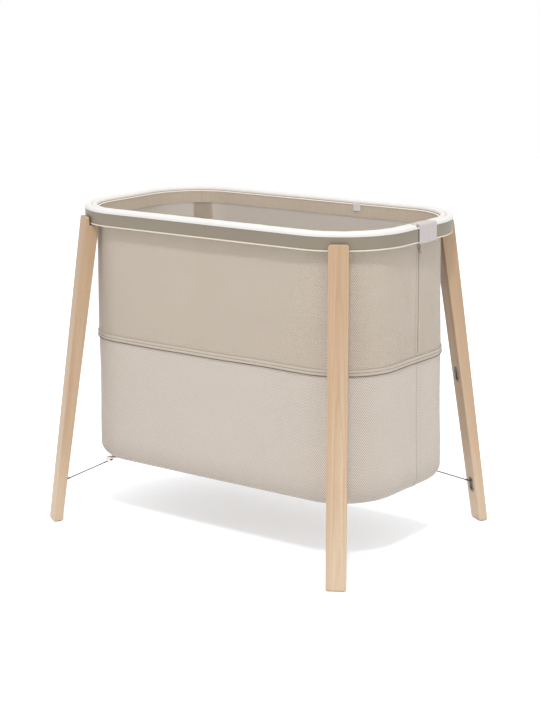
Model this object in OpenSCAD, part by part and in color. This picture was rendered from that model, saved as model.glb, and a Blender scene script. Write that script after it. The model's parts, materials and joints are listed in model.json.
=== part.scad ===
// Bassinet on four splayed legs: a hollow rim carries a deep fabric basket, and thin wire stays
// hold the bed base steady. X runs along the rim, Y across it, Z up from the floor. Millimetres.

/* [Rim] */
// Outer length of the rim
rim_length = 908; // [880:2:940]
// Outer width of the rim
rim_width = 496; // [480:2:520]
// Outer radius of the rim's corners
rim_corner = 172; // [160:1:180]
// Height of the metal rim's top face above the floor
rim_top = 780; // [770:1:790]
// Height of the metal band
band_height = 31; // [29:1:34]
// Width of the rim's hollow section
rim_depth = 28; // [27:0.5:30]
// Wall of the rim's hollow section
rim_skin = 1.8; // [1.5:0.1:2.2]

/* [Legs] */
// Plan angle of each leg, measured from the rim's length
leg_angle = 58; // [54:1:60]
// Width of a leg across its broad face
leg_width = 46; // [42:1:50]
// Leg thickness at the floor
foot_thick = 22; // [20:1:26]
// Leg thickness where it would meet the rim's top
head_thick = 37; // [35:1:40]
// Distance of the foot's outer face from the corner's centre
foot_reach = 291; // [280:1:300]
// Distance of the head's outer face from the corner's centre
head_reach = 181; // [180:1:184]
// Height of the leg's cheek, which stands outside the band
cheek_top = 763; // [758:1:768]
// Thickness of the foot glide
glide_thick = 2.5; // [2:0.5:4]

/* [Basket] */
// Height of the middle seam
seam_height = 466; // [460:1:475]
// Height of the basket's underside
floor_height = 152; // [150:1:156]
// Radius of the basket's lower edge
pan_radius = 30; // [24:1:32]
// Thickness of the mattress
mattress_thick = 47; // [40:1:60]

/* [Stays] */
// Height of the lower keyhole fitting
lower_fitting = 97; // [95:1:98]
// Height of the upper keyhole fitting
upper_fitting = 383; // [370:1:395]
// Plan angle of each stay, measured from the rim's length
stay_angle = 50.4; // [48:0.2:54]
// Rise of each stay above the horizontal
stay_rise = 20.5; // [20:0.1:21]
// Distance between the two ball ends of a stay
stay_length = 133.4; // [132:0.2:134]

/* [Hidden] */
$fn = 96;

// Corners in the order front left, front right, back right, back left
corner_x = rim_length/2 - rim_corner;
corner_y = rim_width/2 - rim_corner;
corner_centres = [[-corner_x, -corner_y], [corner_x, -corner_y], [corner_x, corner_y], [-corner_x, corner_y]];
corner_turns = [180 + leg_angle, -leg_angle, leg_angle, 180 - leg_angle];
stay_yaws = [for (side = [-1, 1, -1, 1]) side*(leg_angle - stay_angle)];

band_foot = rim_top - band_height;
leg_shoulder = band_foot - 7;
cheek_gap = 1.5;
cheek_round = 6;

// Faces of a leg, as distances from the corner's centre at height z
function leg_outer(z) = foot_reach + (head_reach - foot_reach)*z/rim_top;
function leg_inner(z) = leg_outer(z) - foot_thick - (head_thick - foot_thick)*z/rim_top;
inner_lean = atan((leg_inner(0) - leg_inner(rim_top))/rim_top);

// Tenon on the bracket, and the bolt that crosses it
tenon_reach = 165;
tenon_lean = 8.6;
tenon_radius = 7;
tenon_length = 50;
bolt_depth = 25;
bolt_radius = 3;
bolt_head_radius = 6;
running_gap = 0.1;

// Keyhole fitting, measured from the ball's height along the leg's inner face
plate_width = 22;
plate_high = 15;
plate_low = -25;
plate_thick = 2;
slot_width = 5;
slot_high = 5;
keyhole_low = -14;
keyhole_radius = 5;
plate_screw_high = 10.5;
ball_radius = 3.5;
ball_depth = 5.9;
pocket_depth = 10;
wire_radius = 1.5;

// Fabric shells, as insets from the rim's outer outline
upper_inset = 28.4;
lower_inset = 24.6;
cloth = 1.8;
pan_inset = 22;
pan_skin = 2;
pan_rim = floor_height + pan_radius;
board_inset = pan_inset + pan_radius + 1;
board_thick = 8;
board_floor = floor_height + pan_skin;
board_top = board_floor + board_thick;
mattress_inset = 36;
mattress_skin = 1.5;

// Middle seam
rod_radius = 1.8;
rod_inset = 26.2;
binding_inset = 22.4;
binding_half = 7;

// Stay anchors, as distances from the leg's ball along the stay's plan direction
anchor_near = 114;
anchor_fork = 120;
anchor_far = 160;
anchor_width = 18;
anchor_plate = 3;
anchor_drop = 14;
anchor_screw_places = [145, 154];
anchor_groove = 3.6;

// Closing zip at the right end
zip_side = 21;
zip_low = seam_height + 8;
zip_high = band_foot - 7;
zip_face = rim_length/2 - upper_inset;
tape_thick = 0.6;
tape_width = 16;
teeth_width = 4.4;
teeth_thick = 1.4;
slider_height = 14;
slider_width = 11;
slider_thick = 4.6;
slider_gap = 0.3;
slider_foot = zip_face + 0.1 + tape_thick + slider_gap;
lug_width = 1.6;
pull_pivot_x = slider_foot + slider_thick + 1.2;
pull_pivot_z = zip_high - 4;
pull_thick = 1.8;
pull_width = 7;
pull_length = 22;
pull_pin_radius = 0.8;

// Tab that closes the cover over the rim's right joint
tab_low = -22;
tab_high = 50;
tab_thick = 1.5;
cover_thick = 6;
cover_top = rim_top + cover_thick;

// ---- shared shapes ----

// Rounded rectangle that follows the rim's outline, set in by inset
module plan(inset) {
    l = rim_length - 2*inset;
    w = rim_width - 2*inset;
    r = rim_corner - inset;
    square([l, w - 2*r], center = true);
    square([l - 2*r, w], center = true);
    for (c = corner_centres) translate(c) circle(r);
}

// Upright band between two insets
module band(outer, inner, low, high) {
    translate([0, 0, low]) linear_extrude(high - low) difference() {
        plan(outer);
        plan(inner);
    }
}

// Flat slab inside an inset
module slab(inset, low, high) {
    translate([0, 0, low]) linear_extrude(high - low) plan(inset);
}

// Sweeps a small profile, drawn to the right of the inset line, round the rim's plan
module sweep_profile(inset, height) {
    r = rim_corner - inset;
    long_run = 2*corner_x;
    short_run = 2*corner_y;
    translate([0, 0, height]) {
        for (i = [0:3]) translate(corner_centres[i]) rotate([0, 0, 180 + 90*i])
            rotate_extrude(angle = 90) translate([r, 0]) children();
        for (side = [0, 180]) rotate([0, 0, side]) {
            translate([0, corner_y, 0]) rotate([90, 0, 90])
                translate([0, 0, -long_run/2]) linear_extrude(long_run) translate([r, 0]) children();
            translate([corner_x, 0, 0]) rotate([90, 0, 0])
                translate([0, 0, -short_run/2]) linear_extrude(short_run) translate([r, 0]) children();
        }
    }
}

module at_corner(i) {
    translate(corner_centres[i]) rotate([0, 0, corner_turns[i]]) children();
}

// Frame on a leg's inner face: +X into the wood, +Z up the face, origin at height z
module at_fitting(z) {
    translate([leg_inner(z), 0, z]) rotate([0, -inner_lean, 0]) children();
}

// Turns a flat drawing to stand across the leg, its height up, extruded into the wood
module across(from, to) {
    translate([from, 0, 0]) rotate([90, 0, 90]) linear_extrude(to - from) children();
}

module upright_slot(width, low, high) {
    translate([-width/2, low + width/2]) square([width, high - low - width]);
    for (y = [low + width/2, high - width/2]) translate([0, y]) circle(d = width);
}

module at_tenon() {
    translate([tenon_reach, 0, leg_shoulder]) rotate([0, 180 - tenon_lean, 0]) children();
}

// Bolt line through the tenon, +Z pointing outward
module at_bolt() {
    at_tenon() translate([0, 0, bolt_depth]) rotate([0, -90, 0]) children();
}

// Frame at a lower ball end, turned to the stay's plan direction
module at_stay(i) {
    lift = [leg_inner(lower_fitting) + ball_depth*cos(inner_lean), 0, lower_fitting + ball_depth*sin(inner_lean)];
    at_corner(i) translate(lift) rotate([0, 0, stay_yaws[i]]) children();
}

// ---- rim ----

module bracket_screw_places() {
    for (side = [-12, 12]) translate([tenon_reach - 14, side, 0]) children();
}

module sleeve_screw_places(side) {
    for (y = [-20, 20]) translate([side*(rim_length - rim_depth)/2, y, band_foot]) children();
}

module rim_half(side) {
    color("#9b9686") difference() {
        intersection() {
            band(0, rim_depth, band_foot, rim_top);
            translate([-rim_length, side > 0 ? 0 : -rim_width, 0]) cube([2*rim_length, rim_width, rim_top]);
        }
        band(rim_skin, rim_depth - rim_skin, band_foot + rim_skin, rim_top - rim_skin);
        for (i = side > 0 ? [2, 3] : [0, 1]) at_corner(i) bracket_screw_places()
            translate([0, 0, band_foot - 1]) cylinder(r = 2 + running_gap, h = rim_skin + 2);
        for (end = [-1, 1]) sleeve_screw_places(end)
            translate([0, 0, -1]) cylinder(r = 2 + running_gap, h = rim_skin + 2);
    }
}

module rim_sleeve(side) {
    gap = 0.3;
    width = rim_depth - 2*rim_skin - 2*gap;
    height = band_height - 2*rim_skin - 2*gap;
    color("#6f6f70") difference() {
        translate([side*(rim_length - rim_depth)/2, 0, band_foot + band_height/2])
            cube([width, 80, height], center = true);
        sleeve_screw_places(side) cylinder(r = 2 + running_gap/2, h = 14);
    }
}

module sleeve_screws() {
    color("#8d8d8f") for (side = [-1, 1]) sleeve_screw_places(side) {
        translate([0, 0, -2.5]) cylinder(r = 3.6, h = 2.5);
        cylinder(r = 2, h = 12);
    }
}

// ---- legs ----

module leg_blank() {
    rotate([90, 0, 0]) translate([0, 0, -leg_width/2]) linear_extrude(leg_width) polygon([
        [leg_inner(glide_thick), glide_thick],
        [leg_outer(glide_thick), glide_thick],
        [leg_outer(cheek_top), cheek_top],
        [rim_corner + cheek_gap, cheek_top],
        [rim_corner + cheek_gap, leg_shoulder],
        [leg_inner(leg_shoulder), leg_shoulder]
    ]);
}

// Broad face of a leg, with its two top corners rounded
module leg_face() {
    square_top = cheek_top - cheek_round;
    translate([-leg_width/2, 0]) square([leg_width, square_top]);
    translate([cheek_round - leg_width/2, 0]) square([leg_width - 2*cheek_round, cheek_top]);
    for (side = [-1, 1]) translate([side*(leg_width/2 - cheek_round), square_top]) circle(cheek_round);
}

module fitting_recess() {
    across(-2, plate_thick) upright_slot(plate_width + 0.3, plate_low - 0.15, plate_high + 0.15);
    translate([plate_thick - 0.1, -6.5, -21]) cube([pocket_depth - plate_thick + 0.1, 13, 30]);
    translate([0, 0, plate_screw_high]) rotate([0, 90, 0]) cylinder(r = 1.85, h = 13);
}

module leg(i) {
    color("#d9b48c") at_corner(i) difference() {
        intersection() {
            leg_blank();
            across(0, foot_reach + 10) leg_face();
        }
        at_tenon() translate([0, 0, -10]) cylinder(r = tenon_radius + running_gap, h = tenon_length + 12);
        at_bolt() translate([0, 0, -30]) cylinder(r = bolt_head_radius + 0.2, h = 19.6);
        at_bolt() translate([0, 0, -12]) cylinder(r = bolt_radius + running_gap, h = 26.5);
        at_fitting(lower_fitting) fitting_recess();
        at_fitting(upper_fitting) fitting_recess();
    }
}

module foot_glide(i) {
    edge = 1.5;
    length = leg_width - 2*edge;
    width = foot_thick - 2*edge;
    round = 6;
    color("#8f8f8d") at_corner(i) translate([foot_reach - foot_thick/2, 0, 0]) linear_extrude(glide_thick) {
        square([width, length - 2*round], center = true);
        square([width - 2*round, length], center = true);
        for (x = [-1, 1], y = [-1, 1])
            translate([x*(width/2 - round), y*(length/2 - round)]) circle(round);
    }
}

module leg_bracket(i) {
    color("#b9b9b8") at_corner(i) difference() {
        union() {
            translate([rim_corner - 27, -19, leg_shoulder]) cube([21.5, 38, band_foot - leg_shoulder]);
            at_tenon() translate([0, 0, -1]) cylinder(r = tenon_radius, h = tenon_length + 1);
        }
        bracket_screw_places() translate([0, 0, leg_shoulder - 1]) {
            cylinder(r = 2 + running_gap, h = 12);
            cylinder(r = 4, h = 3.7);
        }
        at_bolt() translate([0, 0, -12]) cylinder(r = bolt_radius + running_gap, h = 24);
    }
}

module leg_bolts() {
    color("#8d8d8f") for (i = [0:3]) at_corner(i) at_bolt() {
        translate([0, 0, -14.5]) difference() {
            cylinder(r = bolt_head_radius, h = 4);
            translate([0, 0, -1]) cylinder(r = 2.3, h = 3.4, $fn = 6);
        }
        translate([0, 0, -10.5]) cylinder(r = bolt_radius, h = 24);
    }
}

module bracket_screws() {
    color("#8d8d8f") for (i = [0:3]) at_corner(i) bracket_screw_places() translate([0, 0, leg_shoulder + 0.1]) {
        cylinder(r = 3.8, h = 2.5);
        cylinder(r = 2, h = 14);
    }
}

// ---- keyhole fittings and stays ----

module keyhole_plate(i, z) {
    color("#a9a59d") at_corner(i) at_fitting(z) difference() {
        across(-0.3, plate_thick) upright_slot(plate_width, plate_low, plate_high);
        across(-1, plate_thick + 1) {
            upright_slot(slot_width, keyhole_low - slot_width/2, slot_high + slot_width/2);
            translate([0, keyhole_low]) circle(keyhole_radius);
        }
        translate([-1, 0, plate_screw_high]) rotate([0, 90, 0]) cylinder(r = 2, h = 4);
        translate([-1, 0, plate_screw_high]) rotate([0, 90, 0]) cylinder(r = 3.5, h = 2.2);
    }
}

module keyhole_screws() {
    color("#6b5a4c") for (i = [0:3], z = [lower_fitting, upper_fitting])
        at_corner(i) at_fitting(z) translate([0, 0, plate_screw_high]) rotate([0, 90, 0]) {
            translate([0, 0, -0.3]) difference() {
                cylinder(r = 3.3, h = 1.3);
                translate([-0.5, -2.2, -1]) cube([1, 4.4, 1.6]);
                translate([-2.2, -0.5, -1]) cube([4.4, 1, 1.6]);
            }
            translate([0, 0, 1]) cylinder(r = 1.8, h = 11);
        }
}

module stay(i) {
    color("#77736c") at_stay(i) rotate([0, stay_rise - 90, 0]) {
        sphere(ball_radius);
        translate([0, 0, stay_length]) sphere(ball_radius);
        cylinder(r = wire_radius, h = stay_length);
        translate([0, 0, 9.5]) cylinder(r = 2.3, h = 11);
        translate([0, 0, stay_length - 22]) cylinder(r = 1.75, h = 20);
    }
}

// Bracket under the base: a flat foot and a fork that the stay's ball pulls against
module stay_anchor(i) {
    color("#a9a59d") at_stay(i) {
        top = floor_height - lower_fitting - ball_depth*sin(inner_lean);
        difference() {
            union() {
                translate([-anchor_far, -anchor_width/2, top - anchor_plate])
                    cube([anchor_far - anchor_near, anchor_width, anchor_plate]);
                translate([-anchor_fork, -anchor_width/2, top - anchor_drop])
                    cube([anchor_fork - anchor_near, anchor_width, anchor_drop]);
            }
            translate([-anchor_fork - 1, -anchor_groove/2, top - anchor_drop - 1])
                cube([anchor_fork - anchor_near + 2, anchor_groove, anchor_drop - 6]);
            for (s = anchor_screw_places) translate([-s, 0, top - 5]) cylinder(r = 2 + running_gap, h = 6);
        }
    }
}

module anchor_screw_lines() {
    for (i = [0:3], s = anchor_screw_places) at_stay(i)
        translate([-s, 0, floor_height - lower_fitting - ball_depth*sin(inner_lean)]) children();
}

module anchor_screws() {
    color("#8d8d8f") anchor_screw_lines() {
        translate([0, 0, -anchor_plate - 2]) cylinder(r = 3.6, h = 2);
        translate([0, 0, -anchor_plate]) cylinder(r = 2, h = anchor_plate + pan_skin + 6);
    }
}

// ---- basket ----

module rim_cover() {
    color("#efebe6") band(0.4, upper_inset + cloth, rim_top, cover_top);
}

module cover_bead() {
    color("#ddd3c6") sweep_profile(upper_inset + cloth + 1.6, rim_top - 3) circle(1.4);
}

module lower_piping() {
    color("#d9cdbf") sweep_profile(2.3, band_foot - 2.1) circle(2);
}

module upper_wall() {
    color("#c6baaa") band(upper_inset, upper_inset + cloth, seam_height + 2.2, rim_top - 1);
}

module seam_rod() {
    color("#b3a898") sweep_profile(rod_inset, seam_height) circle(rod_radius);
}

module seam_binding() {
    color("#cbbfb0") band(binding_inset, binding_inset + cloth, seam_height - binding_half, seam_height + binding_half);
}

module lower_wall() {
    color("#cbc1b3") band(lower_inset, lower_inset + cloth, pan_rim + 0.2, seam_height - 2.2);
}

module floor_pan() {
    color("#c3b8aa") difference() {
        union() {
            slab(pan_inset + pan_radius - 0.5, floor_height, floor_height + pan_skin);
            sweep_profile(pan_inset + pan_radius, pan_rim) intersection() {
                difference() {
                    circle(pan_radius);
                    circle(pan_radius - pan_skin);
                }
                translate([0, -pan_radius]) square(pan_radius);
            }
        }
        anchor_screw_lines() translate([0, 0, -1]) cylinder(r = 2 + running_gap, h = pan_skin + 2);
    }
}

module zip_tape() {
    color("#b9ae9f") translate([zip_face + 0.1, zip_side - tape_width/2, zip_low])
        cube([tape_thick, tape_width, zip_high - zip_low]);
}

module zip_teeth() {
    color("#d8cfc3") translate([zip_face + 0.1 + tape_thick, zip_side - teeth_width/2, zip_low])
        cube([teeth_thick, teeth_width, zip_high - zip_low]);
}

// Frame on the pull's pin, +Z along the pin
module at_pull() {
    translate([pull_pivot_x, zip_side, pull_pivot_z]) rotate([90, 0, 0]) children();
}

module zip_slider() {
    face = slider_foot + slider_thick;
    color("#d8cfc3") difference() {
        union() {
            translate([slider_foot, zip_side - slider_width/2, zip_high - slider_height])
                cube([slider_thick, slider_width, slider_height]);
            for (side = [-1, 1]) translate([face - 1, zip_side + side*(slider_width - lug_width)/2, pull_pivot_z])
                translate([0, -lug_width/2, -2]) cube([3.6, lug_width, 4]);
        }
        translate([slider_foot - 1, zip_side - teeth_width/2 - slider_gap, zip_high - slider_height - 1])
            cube([teeth_thick + 1, teeth_width + 2*slider_gap, slider_height + 2]);
        at_pull() cylinder(r = pull_pin_radius + running_gap/2, h = slider_width + 2, center = true);
    }
}

module zip_pull() {
    color("#e4ddd3") difference() {
        union() {
            at_pull() cylinder(r = pull_pin_radius, h = slider_width, center = true);
            at_pull() cylinder(d = pull_thick, h = pull_width, center = true);
            translate([pull_pivot_x, zip_side, pull_pivot_z - pull_length]) {
                translate([-pull_thick/2, -pull_width/2, 0]) cube([pull_thick, pull_width, pull_length]);
                rotate([0, 90, 0]) cylinder(d = pull_width, h = pull_thick, center = true);
            }
        }
        translate([pull_pivot_x, zip_side, pull_pivot_z - pull_length])
            rotate([0, 90, 0]) cylinder(r = 1.8, h = 4, center = true);
    }
}

module rim_tab() {
    inner = rim_length/2 - rim_depth + 1;
    outer = rim_length/2 + 0.1;
    color("#eeeae8") translate([0, tab_low, 0]) {
        translate([inner, 0, cover_top + 0.3]) cube([outer + tab_thick - inner, tab_high - tab_low, tab_thick]);
        translate([outer, 0, band_foot - 6]) cube([tab_thick, tab_high - tab_low, cover_top + 1 - band_foot + 6]);
    }
}

module hanging_label() {
    color("#dddddf") translate([114, rim_width/2 - upper_inset - cloth - 1.6, rim_top - 26]) cube([20, 1.4, 20]);
}

// ---- bed ----

module base_board() {
    color("#cdb08a") difference() {
        slab(board_inset, board_floor, board_top);
        anchor_screw_lines() translate([0, 0, pan_skin - 1]) cylinder(r = 2 + running_gap/2, h = 7.2);
    }
}

module mattress_core() {
    color("#e9e4d6") slab(mattress_inset + mattress_skin, board_top + mattress_skin, board_top + mattress_thick - mattress_skin);
}

module mattress_cover() {
    color("#f1eee9") difference() {
        slab(mattress_inset, board_top, board_top + mattress_thick);
        slab(mattress_inset + mattress_skin, board_top + mattress_skin, board_top + mattress_thick - mattress_skin);
    }
}

rim_half(-1);  // rim_front
rim_half(1);  // rim_back
rim_sleeve(1);  // rim_sleeve_right
rim_sleeve(-1);  // rim_sleeve_left
sleeve_screws();
leg(0);  // leg_front_left
leg(1);  // leg_front_right
leg(2);  // leg_back_right
leg(3);  // leg_back_left
foot_glide(0);  // foot_glide_front_left
foot_glide(1);  // foot_glide_front_right
foot_glide(2);  // foot_glide_back_right
foot_glide(3);  // foot_glide_back_left
leg_bracket(0);  // leg_bracket_front_left
leg_bracket(1);  // leg_bracket_front_right
leg_bracket(2);  // leg_bracket_back_right
leg_bracket(3);  // leg_bracket_back_left
leg_bolts();
bracket_screws();
keyhole_plate(0, lower_fitting);  // keyhole_lower_front_left
keyhole_plate(1, lower_fitting);  // keyhole_lower_front_right
keyhole_plate(2, lower_fitting);  // keyhole_lower_back_right
keyhole_plate(3, lower_fitting);  // keyhole_lower_back_left
keyhole_plate(0, upper_fitting);  // keyhole_upper_front_left
keyhole_plate(1, upper_fitting);  // keyhole_upper_front_right
keyhole_plate(2, upper_fitting);  // keyhole_upper_back_right
keyhole_plate(3, upper_fitting);  // keyhole_upper_back_left
keyhole_screws();
stay(0);  // stay_front_left
stay(1);  // stay_front_right
stay(2);  // stay_back_right
stay(3);  // stay_back_left
stay_anchor(0);  // stay_anchor_front_left
stay_anchor(1);  // stay_anchor_front_right
stay_anchor(2);  // stay_anchor_back_right
stay_anchor(3);  // stay_anchor_back_left
anchor_screws();
rim_cover();
cover_bead();
lower_piping();
rim_tab();
hanging_label();
upper_wall();
seam_rod();
seam_binding();
lower_wall();
floor_pan();
zip_tape();
zip_teeth();
zip_slider();
zip_pull();
base_board();
mattress_core();
mattress_cover();
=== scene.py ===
import json
import math

import bmesh
import bpy
import numpy as np
from mathutils import Matrix, Vector


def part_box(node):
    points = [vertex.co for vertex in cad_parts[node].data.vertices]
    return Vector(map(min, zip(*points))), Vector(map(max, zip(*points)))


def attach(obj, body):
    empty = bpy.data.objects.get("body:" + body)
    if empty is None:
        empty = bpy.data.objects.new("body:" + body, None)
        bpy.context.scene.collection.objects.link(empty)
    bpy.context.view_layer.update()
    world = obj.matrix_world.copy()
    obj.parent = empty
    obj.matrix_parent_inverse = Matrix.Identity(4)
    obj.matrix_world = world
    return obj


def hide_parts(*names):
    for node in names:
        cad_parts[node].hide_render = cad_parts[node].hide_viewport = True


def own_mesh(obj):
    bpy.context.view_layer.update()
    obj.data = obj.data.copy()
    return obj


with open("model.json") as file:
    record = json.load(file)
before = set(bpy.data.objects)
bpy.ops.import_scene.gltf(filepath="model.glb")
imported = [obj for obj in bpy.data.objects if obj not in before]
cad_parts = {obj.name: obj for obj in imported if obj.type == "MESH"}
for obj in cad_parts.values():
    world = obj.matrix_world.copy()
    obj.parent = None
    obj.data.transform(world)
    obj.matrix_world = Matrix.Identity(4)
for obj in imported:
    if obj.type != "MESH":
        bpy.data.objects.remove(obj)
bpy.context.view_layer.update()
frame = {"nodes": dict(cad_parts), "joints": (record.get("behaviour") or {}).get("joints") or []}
scene = bpy.context.scene
print("frame loaded,", len(frame["nodes"]), "nodes")

corners = ("front_left", "front_right", "back_right", "back_left")


class Wire:
    # one output of a node: arithmetic on it adds Math nodes
    def __init__(self, recipe, socket):
        self.recipe = recipe
        self.socket = socket

    def calc(self, operation, *others):
        values = dict(enumerate((self,) + others))
        return self.recipe.add("ShaderNodeMath", {"operation": operation}, values)

    def __add__(self, other):
        return self.calc("ADD", other)

    def __mul__(self, other):
        return self.calc("MULTIPLY", other)

    def __sub__(self, other):
        return self.calc("SUBTRACT", other)

    def __gt__(self, other):
        return self.calc("GREATER_THAN", other)

    def __rsub__(self, other):
        return self.recipe.add("ShaderNodeMath", {"operation": "SUBTRACT"}, {0: other, 1: self})

    __radd__ = __add__
    __rmul__ = __mul__

    def sine(self):
        return self.calc("SINE")

    def size(self):
        return self.calc("ABSOLUTE")

    def rise(self, low, high, start=0.0, end=1.0):
        return self.recipe.add("ShaderNodeMapRange", {"interpolation_type": "SMOOTHSTEP"},
                               {0: self, 1: low, 2: high, 3: start, 4: end})


class Recipe:
    # a material in the making, with its Principled shader's own sockets set by name
    def __init__(self, name, **sockets):
        self.material = bpy.data.materials.new(name)
        self.material.use_nodes = True
        self.tree = self.material.node_tree
        self.shader = self.tree.nodes["Principled BSDF"]
        for key, value in sockets.items():
            self.feed(key.replace("_", " "), value)

    def add(self, kind, settings=None, sockets=None, out=0):
        node = self.tree.nodes.new(kind)
        for key, value in (settings or {}).items():
            if key == "stops":
                self.stops(node.color_ramp, value)
            else:
                setattr(node, key, value)
        for key, value in (sockets or {}).items():
            self.plug(node.inputs[key], value)
        return Wire(self, node.outputs[out])

    def stops(self, ramp, stops):
        while len(ramp.elements) < len(stops):
            ramp.elements.new(0.5)
        for element, (place, colour) in zip(ramp.elements, stops):
            element.position = place
            element.color = colour

    def plug(self, socket, value):
        if isinstance(value, Wire):
            self.tree.links.new(value.socket, socket)
        else:
            socket.default_value = value

    def feed(self, name, value):
        self.plug(self.shader.inputs[name], value)

    def cloth(self):
        # distances along and across a piece of cloth, in metres
        place = self.add("ShaderNodeUVMap", {"uv_map": "cloth"})
        return self.parts(place)

    def parts(self, place):
        split = self.add("ShaderNodeSeparateXYZ", None, {0: place}).socket.node
        return [Wire(self, socket) for socket in split.outputs]

    def around(self):
        return self.add("ShaderNodeTexCoord", None, None, "Object")

    def stretched(self, place, across, along, up):
        return self.add("ShaderNodeVectorMath", {"operation": "MULTIPLY"}, {0: place, 1: (across, along, up)})

    def cloud(self, place, scale, detail=3.0, rough=0.5):
        return self.add("ShaderNodeTexNoise", None,
                        {"Vector": place, "Scale": scale, "Detail": detail, "Roughness": rough})

    def ramp(self, value, *stops):
        return self.add("ShaderNodeValToRGB", {"stops": stops}, {0: value})

    def blend(self, share, first, second, kind="MIX"):
        return self.add("ShaderNodeMix", {"data_type": "RGBA", "blend_type": kind},
                        {0: share, 6: first, 7: second}, 2)

    def bump(self, height, depth, strength=1.0):
        self.feed("Normal", self.add("ShaderNodeBump", None,
                                     {"Height": height, "Distance": depth, "Strength": strength}))


def tone(red, green, blue):
    # a colour as a screen shows it, 0 to 255, in linear light
    linear = [((c / 255 + 0.055) / 1.055) ** 2.4 if c > 10 else c / 3295 for c in (red, green, blue)]
    return (*linear, 1.0)


def darker(colour, share):
    return (*[c * share for c in colour[:3]], 1.0)


def weave(recipe, across, along, pitch):
    # plain weave: warp over weft, then weft over warp, as heights from 0 to 1
    warp = (across * (math.pi / pitch)).sine()
    weft = (along * (math.pi / pitch)).sine()
    over = (warp * weft) > 0
    return warp.size() * over + weft.size() * (1 - over)


def beech():
    # flat-sawn beech: wide bands, arched growth rings, fine streaks and short dark flecks
    wood = {
        "pale": tone(188, 164, 137), "warm": tone(169, 140, 111), "ring": tone(150, 119, 88),
        # head and foot are painted shade and painted light, laid over the wood by height
        "fleck": tone(142, 112, 84), "head": tone(150, 119, 86), "foot": tone(200, 179, 155),
        "ringWidth": 0.0042, "arch": 22.0, "taper": 0.011,
    }
    recipe = Recipe("beech", Coat_Roughness=0.35, Specular_IOR_Level=0.4)
    place = recipe.add("ShaderNodeAttribute", {"attribute_name": "timber"}, None, "Vector")
    depth, across, along = recipe.parts(place)
    bands = recipe.cloud(recipe.stretched(place, 34, 60, 1.6), 1.0, 4.0, 0.55)
    streaks = recipe.cloud(recipe.stretched(place, 520, 520, 9), 1.0, 4.0, 0.65)
    drift = recipe.cloud(recipe.stretched(place, 12, 26, 2.2), 1.0, 2.0)
    reach = depth + across * across * wood["arch"] + along * wood["taper"] + drift * 0.011
    rings = (reach * (2 * math.pi / wood["ringWidth"])).sine().rise(0.2, 1.0)
    flecks = recipe.cloud(recipe.stretched(place, 1100, 700, 120), 1.0, 1.0, 0.3).rise(0.62, 0.72)
    ground = recipe.ramp(bands, (0.34, wood["pale"]), (0.70, wood["warm"]))
    ground = recipe.blend(streaks.rise(0.40, 0.72, 0, 0.5), ground, wood["warm"])
    ground = recipe.blend(rings * 0.26, ground, wood["ring"])
    ground = recipe.blend(flecks * 0.22, ground, wood["fleck"])
    height = recipe.parts(recipe.around())[2]  # painted light and shade: paler towards the foot for painted light from the floor, deeper towards the head for painted shade under the rim
    ground = recipe.blend(height.rise(0.0, 0.24, 0.42, 0.0), ground, wood["foot"])
    recipe.feed("Base Color", recipe.blend(height.rise(0.20, 0.80, 0.04, 0.52), ground, wood["head"]))
    recipe.feed("Roughness", 0.42 + streaks * 0.16)
    recipe.feed("Coat Weight", 0.10 + streaks * 0.06)
    recipe.bump(streaks * 0.6 + rings * 0.3 - flecks * 0.6, 0.00012, 0.5)
    return recipe.material


def birchPly():
    ply = {"face": tone(226, 200, 160), "streak": tone(205, 172, 128)}
    recipe = Recipe("birchPly", Roughness=0.6)
    place = recipe.around()
    grain = recipe.cloud(recipe.stretched(place, 4, 90, 300), 1.0, 4.0, 0.6)
    recipe.feed("Base Color", recipe.ramp(grain, (0.35, ply["face"]), (0.7, ply["streak"])))
    recipe.bump(grain, 0.0002, 0.4)
    return recipe.material


def satinRim():
    # satin lacquer with a little metal flake in it
    metal = {"base": tone(132, 123, 108), "shade": tone(122, 113, 98)}
    recipe = Recipe("satinRim", Metallic=0.25, Coat_Weight=0.05, Coat_Roughness=0.35, Specular_IOR_Level=0.3)
    place = recipe.around()
    patch = recipe.cloud(place, 6.0, 2.0)
    grit = recipe.cloud(place, 2600.0, 2.0)
    recipe.feed("Base Color", recipe.blend(patch, metal["base"], metal["shade"]))
    recipe.feed("Roughness", 0.40 + patch * 0.07 + grit * 0.05)
    recipe.bump(grit, 0.00003, 0.35)
    return recipe.material


def plainMetal(name, colour, rough, metallic=1.0, grain=(900, 900, 60)):
    recipe = Recipe(name, Metallic=metallic)
    place = recipe.around()
    drawn = recipe.cloud(recipe.stretched(place, *grain), 1.0, 3.0, 0.6)
    smudge = recipe.cloud(place, 60.0, 2.0)
    recipe.feed("Base Color", recipe.blend(smudge.rise(0.35, 0.75), colour, darker(colour, 0.82)))
    recipe.feed("Roughness", rough + drawn * 0.14)
    recipe.bump(drawn, 0.00002, 0.4)
    return recipe.material


def mouldedPlastic(name, colour, rough=0.42):
    recipe = Recipe(name, Specular_IOR_Level=0.45)
    place = recipe.around()
    pebble = recipe.cloud(place, 1400.0, 2.0)
    patch = recipe.cloud(place, 14.0, 2.0)
    recipe.feed("Base Color", recipe.blend(patch * 0.5, colour, darker(colour, 0.9)))
    recipe.feed("Roughness", rough + pebble * 0.12)
    recipe.bump(pebble, 0.00004, 0.4)
    return recipe.material


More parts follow.
